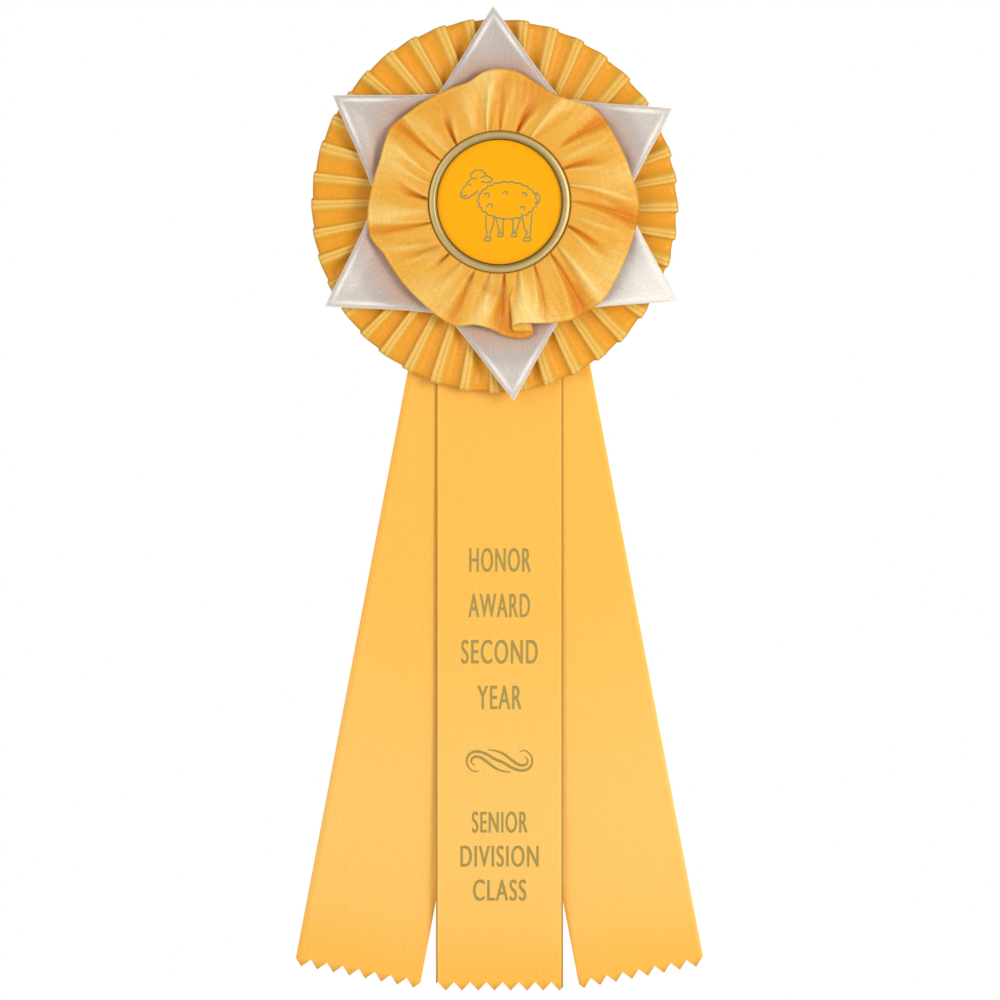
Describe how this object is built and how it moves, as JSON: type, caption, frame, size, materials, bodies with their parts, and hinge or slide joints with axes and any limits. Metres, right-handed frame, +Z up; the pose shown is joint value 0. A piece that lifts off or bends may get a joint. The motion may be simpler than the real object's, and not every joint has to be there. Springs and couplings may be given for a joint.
{
  "type": "award rosette",
  "caption": "Ruffled satin rosette with a six-point star, a framed centre button and three hanging streamers, worn by a bar pin on its back.",
  "frame": {"origin": "middle of the bar pin's needle, which carries the rosette", "axes": "+Z up, front faces -Y, +X to the right seen from the front; the needle lies along X with its point towards -X"},
  "size_m": [0.163, 0.0224, 0.3936],
  "materials": {
    "gold_satin": "satin",
    "white_satin": "satin",
    "thread": "matte",
    "board": "matte",
    "felt": "matte",
    "foam": "matte",
    "steel": "satin",
    "nickel": "polished",
    "brass": "satin",
    "printed_card": "matte"
  },
  "bodies": {
    "rosette": {"pin_base": "nickel", "pin_hinge_rivet": "steel", "pin_pad": "foam", "back_card": "board", "streamer_left_head": "gold_satin", "streamer_right_head": "gold_satin", "streamer_center_head": "gold_satin", "streamer_staples": "steel", "core_card": "board", "outer_ruffle": "gold_satin", "outer_gather_thread": "thread", "star_point_1": "white_satin", "star_point_2": "white_satin", "star_point_3": "white_satin", "star_point_4": "white_satin", "star_point_5": "white_satin", "star_point_6": "white_satin", "inner_ruffle": "gold_satin", "inner_gather_thread": "thread", "hub_spacer": "felt", "button_plate": "steel", "button_spacer": "board", "center_disc": "printed_card", "center_bezel": "brass"},
    "needle": {"pin_needle": "steel"},
    "center_streamer": {"streamer_center_tail": "gold_satin"},
    "right_streamer": {"streamer_right_tail": "gold_satin"},
    "left_streamer": {"streamer_left_tail": "gold_satin"}
  },
  "joints": [
    {"name": "pin_swing", "type": "hinge", "parent": "rosette", "child": "needle", "pos_m": [0.012, 0, 0], "axis": [0, 0, -1], "range_deg": [0, 75]},
    {"name": "center_swing", "type": "hinge", "parent": "rosette", "child": "center_streamer", "pos_m": [0, -0.00645, -0.0985], "axis": [-1, 0, 0], "range_deg": [0, 75]},
    {"name": "right_swing", "type": "hinge", "parent": "rosette", "child": "right_streamer", "pos_m": [0, -0.00585, -0.0985], "axis": [1, 0, 0], "range_deg": [0, 45]},
    {"name": "left_swing", "type": "hinge", "parent": "rosette", "child": "left_streamer", "pos_m": [0, -0.00585, -0.0985], "axis": [1, 0, 0], "range_deg": [0, 45]}
  ],
  "couplings": [
    {"joint": "left_swing", "follows": "right_swing", "ratio": 1}
  ]
}
